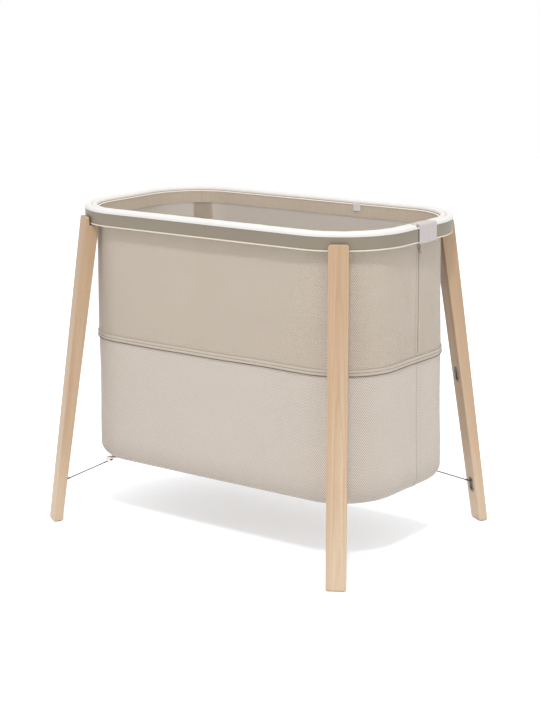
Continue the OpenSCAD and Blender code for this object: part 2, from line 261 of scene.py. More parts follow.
def spacerMesh(name, thread, valley, solidShare=0.0, relief=0.35, footShadeShare=0.0, pitch=0.0042):
    # airy knit: rows of small lens-shaped holes set as a diamond lattice, with painted shade deepening its
    # tone round the foot
    glow = tone(232, 204, 172)  # a faint glow, for the light that comes through the knit
    recipe = Recipe(name, Sheen_Weight=0.14, Sheen_Roughness=0.5, Specular_IOR_Level=0.2,
                    Emission_Color=glow, Emission_Strength=0.07)
    across, along, _ = recipe.cloth()
    turn = math.pi / pitch
    lattice = ((across + along * 0.62) * turn).sine() * ((across - along * 0.62) * turn).sine()
    hole = lattice.size().rise(0.34, 0.78)
    place = recipe.around()
    tint = recipe.cloud(place, 9.0, 3.0)
    slub = recipe.cloud(recipe.stretched(place, 40, 40, 900), 1.0, 2.0)
    fuzz = recipe.cloud(place, 900.0, 2.0)
    ground = recipe.blend(hole, thread, valley)
    ground = recipe.blend(slub.rise(0.45, 0.75) * 0.22, ground, valley)
    ground = recipe.blend(tint.rise(0.3, 0.75) * 0.05, ground, valley)
    # painted shade: darker towards the bottom edge, where the bottom rounds away from the light
    foot = recipe.parts(place)[2].rise(0.160, 0.225, footShadeShare, 0.0)
    recipe.feed("Base Color", recipe.blend(foot * (0.25 + hole * 0.75), ground, darker(valley, 0.72)))
    recipe.feed("Alpha", (1 - hole * (1 - solidShare) * 0.75) * (0.90 + solidShare * 0.08))
    recipe.feed("Roughness", 0.78 + fuzz * 0.14)
    recipe.bump(lattice.size() * -1.0 + fuzz * 0.25, 0.0008, relief)
    return recipe.material


def wovenCloth(name, colour, pitch, depth=0.00018, fade=0.88, sheen=0.2):
    recipe = Recipe(name, Sheen_Weight=sheen, Sheen_Roughness=0.45, Specular_IOR_Level=0.25)
    across, along, _ = recipe.cloth()
    height = weave(recipe, across, along, pitch)
    place = recipe.around()
    tint = recipe.cloud(place, 22.0, 4.0)
    fuzz = recipe.cloud(place, 1500.0, 2.0)
    ground = recipe.blend(height.rise(0.1, 0.8), darker(colour, fade), colour)
    recipe.feed("Base Color", recipe.blend(tint.rise(0.35, 0.8) * 0.3, ground, darker(colour, 0.93)))
    recipe.feed("Roughness", 0.76 + fuzz * 0.16)
    recipe.bump(height + fuzz * 0.5, depth, 0.7)
    return recipe.material


def twill(name, colour, pitch):
    recipe = Recipe(name, Sheen_Weight=0.2, Sheen_Roughness=0.4, Specular_IOR_Level=0.25)
    across, along, _ = recipe.cloth()
    rib = ((across + along) * (math.pi / pitch)).sine().size()
    cross = (across * (2 * math.pi / pitch)).sine() * 0.2
    fuzz = recipe.cloud(recipe.around(), 1300.0, 2.0)
    recipe.feed("Base Color", recipe.blend(rib.rise(0.15, 0.8), darker(colour, 0.84), colour))
    recipe.feed("Roughness", 0.74 + fuzz * 0.18)
    recipe.bump(rib + cross + fuzz * 0.4, 0.00016, 0.7)
    return recipe.material


def cordCloth(name, colour, pitch=0.0016):
    # bias-cut cloth round a piping cord, with its slanting threads
    recipe = Recipe(name, Sheen_Weight=0.15, Sheen_Roughness=0.5, Specular_IOR_Level=0.25)
    across, along, _ = recipe.cloth()
    thread = ((across + along * 1.4) * (math.pi / pitch)).sine().size()
    fuzz = recipe.cloud(recipe.around(), 1500.0, 2.0)
    recipe.feed("Base Color", recipe.blend(thread.rise(0.1, 0.8), darker(colour, 0.86), colour))
    recipe.feed("Roughness", 0.75 + fuzz * 0.17)
    recipe.bump(thread + fuzz * 0.4, 0.00015, 0.6)
    return recipe.material


def feltPad():
    felt = {"light": tone(150, 148, 143), "dark": tone(112, 110, 106)}
    recipe = Recipe("feltPad", Specular_IOR_Level=0.1)
    place = recipe.around()
    hairs = recipe.cloud(place, 700.0, 5.0, 0.7)
    recipe.feed("Base Color", recipe.ramp(hairs, (0.35, felt["dark"]), (0.65, felt["light"])))
    recipe.feed("Roughness", 0.85 + hairs * 0.1)
    recipe.bump(hairs, 0.0004, 0.8)
    return recipe.material


# the rim seen from above: a rectangle with round corners, which every swept piece follows
rimPlan = {
    "halfLength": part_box("rim_front")[1].x,
    "halfWidth": -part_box("rim_front")[0].y,
    "corner": 0.172,  # outer radius of the rim's corners
    "step": 0.008,    # spacing of the columns of a swept piece
}
rimPlan["coreX"] = rimPlan["halfLength"] - rimPlan["corner"]
rimPlan["coreY"] = rimPlan["halfWidth"] - rimPlan["corner"]
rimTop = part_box("rim_front")[1].z
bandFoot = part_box("rim_front")[0].z


def planColumns(step=None, inset=0.03):
    # core points, outward directions and lengths round the plan, from the right end's middle, anticlockwise
    step = step or rimPlan["step"]
    x, y, radius = rimPlan["coreX"], rimPlan["coreY"], rimPlan["corner"] - inset
    stops = [(x, 0), (x, y), (-x, y), (-x, -y), (x, -y), (x, 0)]
    core, way, length, run = [], [], [], 0.0
    for i in range(5):
        start, end = Vector(stops[i]), Vector(stops[i + 1])
        straight = (end - start).length
        half = 1 if i in (0, 4) else 2  # a column at each end's middle
        count = half * max(1, round(straight / step / half))
        for k in range(count):
            core.append(start.lerp(end, k / count))
            way.append(Vector((math.cos(i * math.pi / 2), math.sin(i * math.pi / 2))))
            length.append(run + straight * k / count)
        run += straight
        if i < 4:
            arc = radius * math.pi / 2
            count = max(6, round(arc / step))
            for k in range(count):
                turn = (i + k / count) * math.pi / 2
                core.append(end)
                way.append(Vector((math.cos(turn), math.sin(turn))))
                length.append(run + arc * k / count)
            run += arc
    return np.array(core), np.array(way), np.array(length), run


def planPoint(core, way, inset, height):
    reach = rimPlan["corner"] - inset
    return np.array([core[0] + way[0] * reach, core[1] + way[1] * reach, height])


def roundedBar(outer, inner, low, high, radius, steps=4):
    # a closed bar section in (inset, height), its corners rounded
    outline = []
    for cx, cz, start in ((inner - radius, high - radius, 0), (outer + radius, high - radius, 90),
                          (outer + radius, low + radius, 180), (inner - radius, low + radius, 270)):
        for k in range(steps + 1):
            turn = math.radians(start + 90 * k / steps)
            outline.append((cx + radius * math.cos(turn), cz + radius * math.sin(turn)))
    return outline


def roundSection(inset, height, radius, sides=14):
    turns = [2 * math.pi * k / sides for k in range(sides)]
    return [(inset + radius * math.cos(t), height + radius * math.sin(t)) for t in turns]


def meshObject(name, points, faces, cloth=None, smooth=40):
    mesh = bpy.data.meshes.new(name)
    mesh.from_pydata([tuple(p) for p in points], [], faces)
    if cloth is not None:
        layer = mesh.uv_layers.new(name="cloth")
        layer.data.foreach_set("uv", np.asarray(cloth, float).ravel())
    mesh.shade_smooth()
    mesh.set_sharp_from_angle(angle=math.radians(smooth))
    mesh.validate()
    piece = bpy.data.objects.new(name, mesh)
    scene.collection.objects.link(piece)
    return piece


def sweep(name, section, half=None, step=None, wave=None, smooth=40):
    # carries a closed section of (inset, height) points round the plan, or round its back or front half
    core, way, length, run = planColumns(step)
    section = np.array(section, float)
    count = len(core)
    spans = {None: (0, count), "back": (0, count // 2), "front": (count // 2, count)}[half]
    places = list(range(spans[0], spans[1] + (1 if half else 0)))
    columns = [k % count for k in places]
    along = np.array([length[k % count] + (run if k >= count else 0) for k in places])
    rows = len(section)
    reach = np.repeat(section[None, :, 0], len(columns), 0)
    height = np.repeat(section[None, :, 1], len(columns), 0)
    if wave:
        reach, height = wave(along[:, None], reach, height)
    radius = rimPlan["corner"] - reach
    x = core[columns, 0][:, None] + way[columns, 0][:, None] * radius
    y = core[columns, 1][:, None] + way[columns, 1][:, None] * radius
    points = np.stack([x, y, height], -1).reshape(-1, 3)
    steps = np.linalg.norm(np.diff(section, axis=0, append=section[:1]), axis=1)
    depth = np.concatenate([[0], np.cumsum(steps)])
    faces, cloth = [], []
    for i in range(len(columns) - (1 if half else 0)):
        j = (i + 1) % len(columns)
        u0 = along[i]
        u1 = along[j] if j else run
        for k in range(rows):
            m = (k + 1) % rows
            faces.append((i * rows + k, j * rows + k, j * rows + m, i * rows + m))
            cloth += [(u0, depth[k]), (u1, depth[k]), (u1, depth[k + 1]), (u0, depth[k + 1])]
    if half:
        end = (len(columns) - 1) * rows
        faces.append(tuple(range(rows)))
        faces.append(tuple(end + k for k in reversed(range(rows))))
        cloth += [tuple(p) for p in section] + [tuple(p) for p in section[::-1]]
    piece = meshObject(name, points, faces, cloth, smooth)
    outward(piece)
    return piece


def outward(piece):
    # makes every face look out of the solid
    work = bmesh.new()
    work.from_mesh(piece.data)
    bmesh.ops.recalc_face_normals(work, faces=work.faces)
    work.to_mesh(piece.data)
    work.free()


def paint(piece, material):
    piece.data.materials.clear()
    piece.data.materials.append(material)
    return piece


def stitchRow(name, places, size):
    # a row of short raised stitches: places holds (point, direction, outward)
    length, width, rise = size
    ring = 6
    points, faces, cloth = [], [], []
    stations = ((-0.5, 0.35), (-0.3, 0.85), (0.0, 1.0), (0.3, 0.85), (0.5, 0.35))
    for point, ahead, out in places:
        point, ahead, out = Vector(point), Vector(ahead).normalized(), Vector(out).normalized()
        side = ahead.cross(out).normalized()
        base = len(points)
        for place, full in stations:
            for k in range(ring):
                turn = 2 * math.pi * k / ring
                offset = side * (math.cos(turn) * width * full / 2) + out * (math.sin(turn) * rise * full)
                points.append(point + ahead * (place * length) + offset)
        for s in range(len(stations) - 1):
            for k in range(ring):
                a, b = base + s * ring + k, base + s * ring + (k + 1) % ring
                faces.append((a, b, b + ring, a + ring))
        faces.append(tuple(base + k for k in reversed(range(ring))))
        faces.append(tuple(base + (len(stations) - 1) * ring + k for k in range(ring)))
    for face in faces:
        cloth += [(points[v].x + points[v].y, points[v].z) for v in face]
    piece = meshObject(name, points, faces, cloth, 60)
    outward(piece)
    return piece


def planStitches(name, inset, height, gap, size):
    # stitches round the plan, standing out of a wall at the given inset
    core, way = planColumns(gap, inset)[:2]
    places = []
    for c, w in zip(core, way):
        places.append((planPoint(c, w, inset, height), (-w[1], w[0], 0), (w[0], w[1], 0)))
    return stitchRow(name, places, size)


planLength = planColumns()[3]


def ripple(along, *waves):
    # unevenness that joins up round the plan: each wave is (count, phase, size)
    turn = 2 * math.pi * along / planLength
    return sum(size * np.sin(count * turn + phase) for count, phase, size in waves)


def ribbon(name, path, across, width, thick, rows=8, bulge=None, smooth=50):
    # a flat strip of even thickness along a path, its width laid along the direction across
    path = [Vector(p) for p in path]
    across = Vector(across).normalized()
    count = len(path)
    sides, lengths = [], [0.0]
    for k in range(count):
        ahead = path[min(k + 1, count - 1)] - path[max(k - 1, 0)]
        sides.append(ahead.normalized().cross(across).normalized())
        if k:
            lengths.append(lengths[-1] + (path[k] - path[k - 1]).length)
    points = []
    for face in (0.5, -0.5):
        for k in range(count):
            for j in range(rows + 1):
                share = j / rows
                lift = bulge(lengths[k], share) if bulge else 0.0
                edge = 0.55 if j in (0, rows) or k in (0, count - 1) else 1.0
                offset = across * ((share - 0.5) * width) + sides[k] * (face * thick * edge + lift)
                points.append(path[k] + offset)
    layer = count * (rows + 1)
    faces, cloth = [], []

    def vertexAt(k, j, back=0):
        return back * layer + k * (rows + 1) + j

    def mark(*spots):
        cloth.extend((lengths[k], width * j / rows) for k, j in spots)

    for k in range(count - 1):
        for j in range(rows):
            spots = ((k, j), (k + 1, j), (k + 1, j + 1), (k, j + 1))
            faces.append(tuple(vertexAt(*s) for s in spots))
            faces.append(tuple(vertexAt(*s, 1) for s in reversed(spots)))
            mark(*spots)
            mark(*reversed(spots))
    rim = [(k, 0) for k in range(count)] + [(count - 1, j) for j in range(1, rows + 1)]
    rim += [(k, rows) for k in range(count - 2, -1, -1)] + [(0, j) for j in range(rows - 1, 0, -1)]
    for a, b in zip(rim, rim[1:] + rim[:1]):
        faces.append((vertexAt(*a), vertexAt(*a, 1), vertexAt(*b, 1), vertexAt(*b)))
        mark(a, a, b, b)
    piece = meshObject(name, points, faces, cloth, smooth)
    outward(piece)
    return piece


def tube(name, centre, radius, ring=6):
    # a round thread or wire along a line of points, closed at both ends
    centre = [Vector(p) for p in centre]
    points, faces, cloth, length = [], [], [], [0.0]
    for k, spot in enumerate(centre):
        ahead = (centre[min(k + 1, len(centre) - 1)] - centre[max(k - 1, 0)]).normalized()
        first = ahead.cross(Vector((0.1, 0.2, 1))).normalized()
        second = ahead.cross(first)
        if k:
            length.append(length[-1] + (spot - centre[k - 1]).length)
        for j in range(ring):
            turn = 2 * math.pi * j / ring
            points.append(spot + (first * math.cos(turn) + second * math.sin(turn)) * radius)
    girth = 2 * math.pi * radius / ring
    for k in range(len(centre) - 1):
        for j in range(ring):
            m = (j + 1) % ring
            faces.append((k * ring + j, k * ring + m, (k + 1) * ring + m, (k + 1) * ring + j))
            cloth += [(length[k], girth * j), (length[k], girth * (j + 1)),
                      (length[k + 1], girth * (j + 1)), (length[k + 1], girth * j)]
    for cap in (tuple(reversed(range(ring))), tuple((len(centre) - 1) * ring + j for j in range(ring))):
        faces.append(cap)
        cloth += [(0.0, girth * j) for j in range(ring)]
    piece = meshObject(name, points, faces, cloth, 60)
    outward(piece)
    return piece


def solid(name, work, matrix=None, smooth=35):
    # turns a bmesh into an object, placed by a matrix
    mesh = bpy.data.meshes.new(name)
    bmesh.ops.recalc_face_normals(work, faces=work.faces)
    work.to_mesh(mesh)
    work.free()
    if matrix:
        mesh.transform(matrix)
    mesh.shade_smooth()
    mesh.set_sharp_from_angle(angle=math.radians(smooth))
    piece = bpy.data.objects.new(name, mesh)
    scene.collection.objects.link(piece)
    return piece


def prism(outline, low, high):
    # an upright prism over an outline of (x, y) points
    work = bmesh.new()
    base = [work.verts.new((x, y, low)) for x, y in outline]
    foot = work.faces.new(base)
    grown = bmesh.ops.extrude_face_region(work, geom=[foot])
    for v in grown["geom"]:
        if isinstance(v, bmesh.types.BMVert):
            v.co.z = high
    bmesh.ops.recalc_face_normals(work, faces=work.faces)
    return work


def carve(piece, cutters):
    for cutter in cutters:
        modifier = piece.modifiers.new("carve", "BOOLEAN")
        modifier.operation = "DIFFERENCE"
        modifier.solver = "EXACT"
        modifier.object = cutter
    bpy.context.view_layer.update()
    carved = bpy.data.meshes.new_from_object(piece.evaluated_get(bpy.context.evaluated_depsgraph_get()))
    piece.modifiers.clear()
    piece.data = carved
    for cutter in cutters:
        bpy.data.objects.remove(cutter)
    return piece


def placed(*turnsAndMoves):
    # joins moves, given as vectors, and turns about Y or Z, given as (axis, degrees)
    matrix = Matrix.Identity(4)
    for step in turnsAndMoves:
        if isinstance(step[0], str):
            matrix = matrix @ Matrix.Rotation(math.radians(step[1]), 4, step[0])
        else:
            matrix = matrix @ Matrix.Translation(Vector(step))
    return matrix


view = {
    "target": (0, 0, 0.3512), "azimuth": 37.3704, "elevation": 13.9928,
    "distance": 4.3398, "roll": -0.5177, "lens": 87.99, "shift": (0.0055, 0.0319),
}


def aim(thing, position, target, roll=0.0):
    look = (Vector(target) - Vector(position)).to_track_quat("-Z", "Y").to_matrix().to_4x4()
    turn = Matrix.Rotation(math.radians(roll), 4, "Z")
    thing.matrix_world = Matrix.Translation(Vector(position)) @ look @ turn


def setCamera():
    az, el = math.radians(view["azimuth"]), math.radians(view["elevation"])
    way = Vector((math.sin(az) * math.cos(el), -math.cos(az) * math.cos(el), math.sin(el)))
    lens = bpy.data.cameras.new("camera")
    lens.lens = view["lens"]
    lens.sensor_width = 36
    lens.shift_x, lens.shift_y = view["shift"]
    lens.clip_end = 100
    camera = bpy.data.objects.new("camera", lens)
    scene.collection.objects.link(camera)
    aim(camera, Vector(view["target"]) + way * view["distance"], view["target"], view["roll"])
    scene.camera = camera


def softLight(name, azimuth, elevation, distance, size, power, colour=(1, 1, 1)):
    az, el = math.radians(azimuth), math.radians(elevation)
    lamp = bpy.data.lights.new(name, "AREA")
    lamp.shape = "DISK"
    lamp.size = size
    lamp.energy = power
    lamp.color = colour
    thing = bpy.data.objects.new(name, lamp)
    scene.collection.objects.link(thing)
    middle = Vector((0, 0, 0.45))
    way = Vector((math.sin(az) * math.cos(el), -math.cos(az) * math.cos(el), math.sin(el)))
    aim(thing, middle + way * distance, middle)


def setStage():
    world = bpy.data.worlds.new("studio")
    world.use_nodes = True
    backdrop = world.node_tree.nodes["Background"]
    backdrop.inputs["Color"].default_value = (1, 1, 1, 1)
    backdrop.inputs["Strength"].default_value = 1.0
    scene.world = world
    scene.view_settings.view_transform = "Standard"
    half = 7.0
    outline = [(-half, -half, 0), (half, -half, 0), (half, half, 0), (-half, half, 0)]
    floor = meshObject("studioFloor", outline, [(0, 1, 2, 3)])
    pale = Recipe("paleFloor", Specular_IOR_Level=0.1, Emission_Color=(1, 1, 1, 1), Emission_Strength=0.27)
    cloud = pale.cloud(pale.around(), 3.0, 2.0)
    pale.feed("Base Color", pale.blend(cloud, (0.88, 0.91, 0.95, 1), (0.86, 0.89, 0.93, 1)))
    pale.feed("Roughness", 0.8 + cloud * 0.1)
    paint(floor, pale.material)
    softLight("keyLight", 36, 48, 4.6, 0.5, 85)
    softLight("topLight", 180, 85, 7.0, 1.3, 155)


setCamera()
setStage()
print("camera and stage set")

finish = {
    "beech": beech(), "ply": birchPly(), "rim": satinRim(),
    "screw": plainMetal("screwSteel", tone(176, 176, 178), 0.28),
    "darkScrew": plainMetal("darkScrew", tone(112, 92, 76), 0.34),
    "bracket": plainMetal("castBracket", tone(178, 178, 177), 0.38, 0.85, (300, 300, 300)),
    "plate": plainMetal("bronzedPlate", tone(112, 105, 98), 0.32, 0.9, (200, 60, 900)),
    "wire": plainMetal("stayWire", tone(112, 106, 98), 0.30, 0.9, (60, 60, 60)),
    "sleeve": plainMetal("sleeveAluminium", tone(170, 171, 173), 0.35, 1.0, (60, 900, 900)),
    "felt": feltPad(),
    "rod": mouldedPlastic("rodPlastic", tone(200, 190, 176)),
    "zip": mouldedPlastic("zipCoil", tone(174, 163, 149), 0.5),
    "zipMetal": mouldedPlastic("zipLacquer", tone(166, 154, 139), 0.38),
    "anchor": mouldedPlastic("anchorPlastic", tone(222, 216, 208), 0.4),
    "mesh": spacerMesh("spacerMesh", tone(178, 168, 156), tone(147, 135, 121), relief=0.30),
    "lowerMesh": spacerMesh("lowerSpacerMesh", tone(185, 176, 167), tone(156, 146, 136),
                            solidShare=0.62, relief=0.30, footShadeShare=0.75),
    "cover": wovenCloth("coverCloth", tone(207, 204, 200), 0.0011),
    "binding": wovenCloth("bindingCloth", tone(176, 164, 150), 0.0012),
    "tape": wovenCloth("zipTapeCloth", tone(176, 164, 150), 0.0010),
    "bead": cordCloth("beadCloth", tone(222, 211, 197)),
    "piping": cordCloth("pipingCloth", tone(206, 195, 180)),
    "tab": twill("tabTwill", tone(178, 170, 167), 0.0019),
    "label": twill("labelTape", tone(214, 213, 213), 0.0012),
    "thread": cordCloth("stitchThread", tone(206, 199, 190), 0.0006),
    # dark cords and stitches that paint shadow into grooves and under edges
    "paintedShadowThread": cordCloth("paintedShadowThread", tone(96, 87, 77), 0.0008),
    "facing": spacerMesh("facingMesh", tone(196, 183, 168), tone(148, 135, 121), solidShare=0.85),
    # painted shadow beside the tab's edge
    "tabEdgeShadow": wovenCloth("tabShadowStrip", tone(92, 84, 75), 0.0008),
    # painted shade in the groove between the cover's rolls
    "paintedGrooveShade": cordCloth("paintedGrooveShade", tone(140, 136, 131), 0.0008),
}
print("finishes made:", len(finish))


rimBar = {"depth": 0.028, "rounding": 0.0032, "step": 0.006}


def makeRim():
    section = roundedBar(0.0, rimBar["depth"], bandFoot, rimTop, rimBar["rounding"], 5)
    for half in ("back", "front"):
        piece = sweep("rim_" + half + "_band", section, half, rimBar["step"])
        paint(piece, finish["rim"])
        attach(piece, "stand")
        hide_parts("rim_" + half)


makeRim()
print("rim made")


# each leg is drawn pointing along +X from its corner, then turned into place
legPlan = {
    "turn": 58, "width": 0.046, "foot": 0.022, "head": 0.037, "footReach": 0.291, "headReach": 0.181,
    "cheekGap": 0.0015, "cheekRound": 0.006, "shoulderDrop": 0.007, "edge": 0.0014,
    "lowerFitting": 0.097, "upperFitting": 0.383,
    "tenonReach": 0.165, "tenonLean": 8.6, "boltDepth": 0.025, "boltBore": 0.0062,
    "plateRecess": (0.0223, -0.02515, 0.01515),  # width, foot and top of the recess for a keyhole plate
    "stayPocket": (-0.0065, -0.021, 0.0065, 0.009),  # the deeper pocket behind it
    "pocketDepth": 0.010,
}
turns = (180 + legPlan["turn"], -legPlan["turn"], legPlan["turn"], 180 - legPlan["turn"])
legTurns = dict(zip(corners, turns))
cornerSigns = dict(zip(corners, ((-1, -1), (1, -1), (1, 1), (-1, 1))))


def legOuter(z):
    return legPlan["footReach"] + (legPlan["headReach"] - legPlan["footReach"]) * z / rimTop


def legInner(z):
    return legOuter(z) - legPlan["foot"] - (legPlan["head"] - legPlan["foot"]) * z / rimTop


def cornerPlace(name):
    x, y = cornerSigns[name]
    return placed((x * rimPlan["coreX"], y * rimPlan["coreY"], 0), ("Z", legTurns[name]))


def fittingPlace(z):
    lean = math.degrees(math.atan((legInner(0) - legInner(rimTop)) / rimTop))
    return placed((legInner(z), 0, z), ("Y", -lean))


def slotOutline(width, low, high, steps=10):
    # an upright slot with round ends, as (across, up)
    radius = width / 2
    top = [(radius * math.cos(math.pi * k / steps), high - radius + radius * math.sin(math.pi * k / steps))
           for k in range(steps + 1)]
    return top + [(-x, low + high - z) for x, z in top]


def roundHole(radius, sides=32):
    return [(radius * math.cos(2 * math.pi * k / sides), radius * math.sin(2 * math.pi * k / sides))
            for k in range(sides)]


def boxOutline(x0, y0, x1, y1):
    return [(x0, y0), (x1, y0), (x1, y1), (x0, y1)]


def legCutters():
    # recesses for the two keyhole fittings, and the counterbore of the cross bolt
    intoWood = Matrix(((0, 0, 1, 0), (1, 0, 0, 0), (0, 1, 0, 0), (0, 0, 0, 1)))
    cutters = []
    for z in (legPlan["lowerFitting"], legPlan["upperFitting"]):
        matrix = fittingPlace(z) @ intoWood
        recess = prism(slotOutline(*legPlan["plateRecess"]), -0.003, 0.002)
        cutters.append(solid("cutter", recess, matrix))
        pocket = prism(boxOutline(*legPlan["stayPocket"]), 0.001, legPlan["pocketDepth"])
        cutters.append(solid("cutter", pocket, matrix))
    bolt = placed((legPlan["tenonReach"], 0, bandFoot - legPlan["shoulderDrop"]),
                  ("Y", 180 - legPlan["tenonLean"]), (0, 0, legPlan["boltDepth"]), ("Y", -90))
    cutters.append(solid("cutter", prism(roundHole(legPlan["boltBore"]), -0.03, -0.0104), bolt))
    return cutters


def makeLegs():
    low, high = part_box("leg_front_left")[0].z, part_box("leg_front_left")[1].z
    shoulder = bandFoot - legPlan["shoulderDrop"]
    cheek = rimPlan["corner"] + legPlan["cheekGap"]
    half = legPlan["width"] / 2
    outline = [(legInner(low), low), (legOuter(low), low), (legOuter(high), high), (cheek, high),
               (cheek, shoulder), (legInner(shoulder), shoulder)]
    work = prism(outline, -half, half)
    for v in work.verts:
        v.co = Vector((v.co.x, -v.co.z, v.co.y))
    top = [e for e in work.edges if all(abs(v.co.z - high) < 1e-6 for v in e.verts)
           and abs(e.verts[0].co.y - e.verts[1].co.y) < 1e-6]
    bmesh.ops.bevel(work, geom=top, offset=legPlan["cheekRound"], segments=8, profile=0.5, affect="EDGES")
    bmesh.ops.recalc_face_normals(work, faces=work.faces)
    sharp = [e for e in work.edges if e.is_convex and e.calc_face_angle(0) > math.radians(40)
             and max(v.co.z for v in e.verts) > low + 0.001]
    bmesh.ops.bevel(work, geom=sharp, offset=legPlan["edge"], segments=3, profile=0.6, affect="EDGES")
    model = carve(solid("legModel", work), legCutters())
    for number, name in enumerate(corners):
        mesh = model.data.copy()
        timber = mesh.attributes.new("timber", "FLOAT_VECTOR", "POINT")
        places = np.array([v.co for v in mesh.vertices])
        places[:, 0] -= legOuter(places[:, 2])  # depth under the outer face: the grain runs along the leg
        places += (0.0017 * number, 0.006 * (number - 1.5), 0.9 * number)
        timber.data.foreach_set("vector", places.ravel())
        mesh.transform(cornerPlace(name))
        mesh.shade_smooth()
        mesh.set_sharp_from_angle(angle=math.radians(28))
        leg = bpy.data.objects.new("beech_leg_" + name, mesh)
        scene.collection.objects.link(leg)
        paint(leg, finish["beech"])
        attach(leg, "stand")
        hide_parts("leg_" + name)
    bpy.data.objects.remove(model)


makeLegs()
print("legs made")


wallPlan = {
    "thick": 0.0012, "row": 0.007,
    "seam": 0.466, "bindingHalf": 0.007,
    "fold": 0.4638,  # where the lower wall folds up to
    # insets of the walls' outer faces from the rim's outline, by height
    "upper": ((0.7788, 0.0292), (0.742, 0.0288), (0.68, 0.0278), (0.60, 0.0268), (0.53, 0.0256),
              (0.4685, 0.0246)),
    "lower": ((0.4636, 0.0250), (0.452, 0.0254), (0.42, 0.0254), (0.36, 0.0254), (0.30, 0.0244),
              (0.25, 0.0230), (0.205, 0.0224), (0.18205, 0.0222)),
}


seamLine = (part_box("zip_tape")[0].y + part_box("zip_tape")[1].y) / 2  # middle of the right end's seam
zipInset = rimPlan["halfLength"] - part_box("zip_tape")[0].x  # where the wall lies flat behind the zip


def eased(table, z):
    # value at height z on a smooth line through a table of (height, value)
    heights = np.array([h for h, _ in table])[::-1]
    values = np.array([v for _, v in table])[::-1]
    fine = np.linspace(heights[0], heights[-1], 200)
    line = np.interp(fine, heights, values)
    for _ in range(60):
        line[1:-1] = (line[:-2] + line[2:] + line[1:-1]) / 3
    return np.interp(z, fine, line)


def wallSection(table):
    high, low = table[0][0], table[-1][0]
    rows = int((high - low) / wallPlan["row"])
    heights = [high + (low - high) * k / rows for k in range(rows + 1)]
    outer = [(float(eased(table, z)), z) for z in heights]
    return outer + [(inset + wallPlan["thick"], z) for inset, z in reversed(outer)]


def fromEnd(along):
    # signed distance round the plan from the right end's middle
    return np.where(along > planLength / 2, along - planLength, along)


def besideSeam(along):
    # 1 along the end seam, fading to 0 a little way off
    near = np.clip(1.8 - np.abs(fromEnd(along) - seamLine) / 0.016, 0, 1)
    return near * near * (3 - 2 * near)


def upperInset(z):
    # the wall behind the zip: straight, then out to the middle seam at its foot
    hold = np.clip((z - 0.470) / 0.011, 0, 1)
    return eased(wallPlan["upper"], z) * (1 - hold) + zipInset * hold


def plainInset(z):
    return eased(wallPlan["upper"], z)


def lowerInset(z):
    return eased(wallPlan["lower"], z)


def upperWave(along, reach, height):
    # held tight at both edges, with a slow billow between, puckers over the seam, and flat beside the zip
    share = np.clip((height - 0.47) / 0.30, 0, 1)
    billow = np.sin(np.pi * share) ** 1.2
    slow = ripple(along, (3, 0.4, 0.0006), (7, 1.1, 0.0005), (13, 2.3, 0.0003))
    pleat = ripple(along, (151, 0.2, 0.0003), (97, 1.9, 0.0003)) * np.exp(-(height - 0.468) / 0.016)
    gather = ripple(along, (61, 0.9, 0.0002), (43, 2.2, 0.0003)) * np.exp(-(0.779 - height) / 0.05)
    beside = besideSeam(along)
    outer = eased(wallPlan["upper"], height)
    flat = reach - outer + upperInset(height)
    return (reach + slow * billow + pleat + gather) * (1 - beside) + flat * beside, height


def lowerWave(along, reach, height):
    share = np.clip((height - 0.182) / 0.28, 0, 1)
    billow = np.sin(np.pi * share) ** 1.2
    slow = ripple(along, (4, 1.4, 0.0006), (9, 0.3, 0.0005), (17, 1.3, 0.0003))
    pleat = ripple(along, (139, 0.7, 0.0005), (89, 2.9, 0.0005), (211, 0.1, 0.0003))
    wave = slow * billow + pleat * np.exp(-(0.4636 - height) / 0.018)
    return reach + wave * (1 - besideSeam(along)), height


def makeWalls():
    stretch = {"joint": "base_lift", "axis": (0, 0, 1), "anchor": (0, 0, wallPlan["fold"])}
    rise = [j for j in frame["joints"] if j["name"] == "base_lift"][0]["range_m"][1]
    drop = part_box("lower_wall")[1].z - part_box("lower_wall")[0].z
    stretch["keep"] = (drop - rise) / drop
    upper = sweep("upper_mesh_wall", wallSection(wallPlan["upper"]), wave=upperWave)
    paint(upper, finish["mesh"])
    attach(upper, "stand")
    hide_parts("upper_wall")
    lower = sweep("lower_mesh_wall", wallSection(wallPlan["lower"]), wave=lowerWave)
    paint(lower, finish["lowerMesh"])
    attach(lower, "stand")
    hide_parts("lower_wall")
    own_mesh(lower)
    return stretch


binding = {
    "face": 0.0231, "ridge": 0.0010, "back": 0.0246, "step": 0.006,
    # the dark cord under the binding, for painted shadow
    "shadowLineInset": 0.0226, "shadowLineDrop": 0.0010, "shadowLineRadius": 0.0009,
    "stitchInset": 0.0229, "stitchGap": 0.0042, "stitch": (0.0036, 0.0013, 0.0004),  # length, width and rise
}


def bindingSection():
    # two sewn ridges with a groove between them
    middle, half, face = wallPlan["seam"], wallPlan["bindingHalf"], binding["face"]
    outer = []
    steps = 16
    for k in range(steps + 1):
        z = middle + half - 2 * half * k / steps
        ridge = binding["ridge"] * abs(math.sin(2 * math.pi * (z - middle) / (2 * half)))
        outer.append((face - ridge, z))
    back = [(binding["back"], middle - half + 0.0008), (binding["back"], middle + half - 0.0008)]
    return outer + back


def bindingWave(along, reach, height):
    sway = ripple(along, (5, 0.8, 0.0006), (11, 2.0, 0.0004))
    return reach + ripple(along, (83, 0.1, 0.0001), (131, 1.7, 0.0001)), height + sway


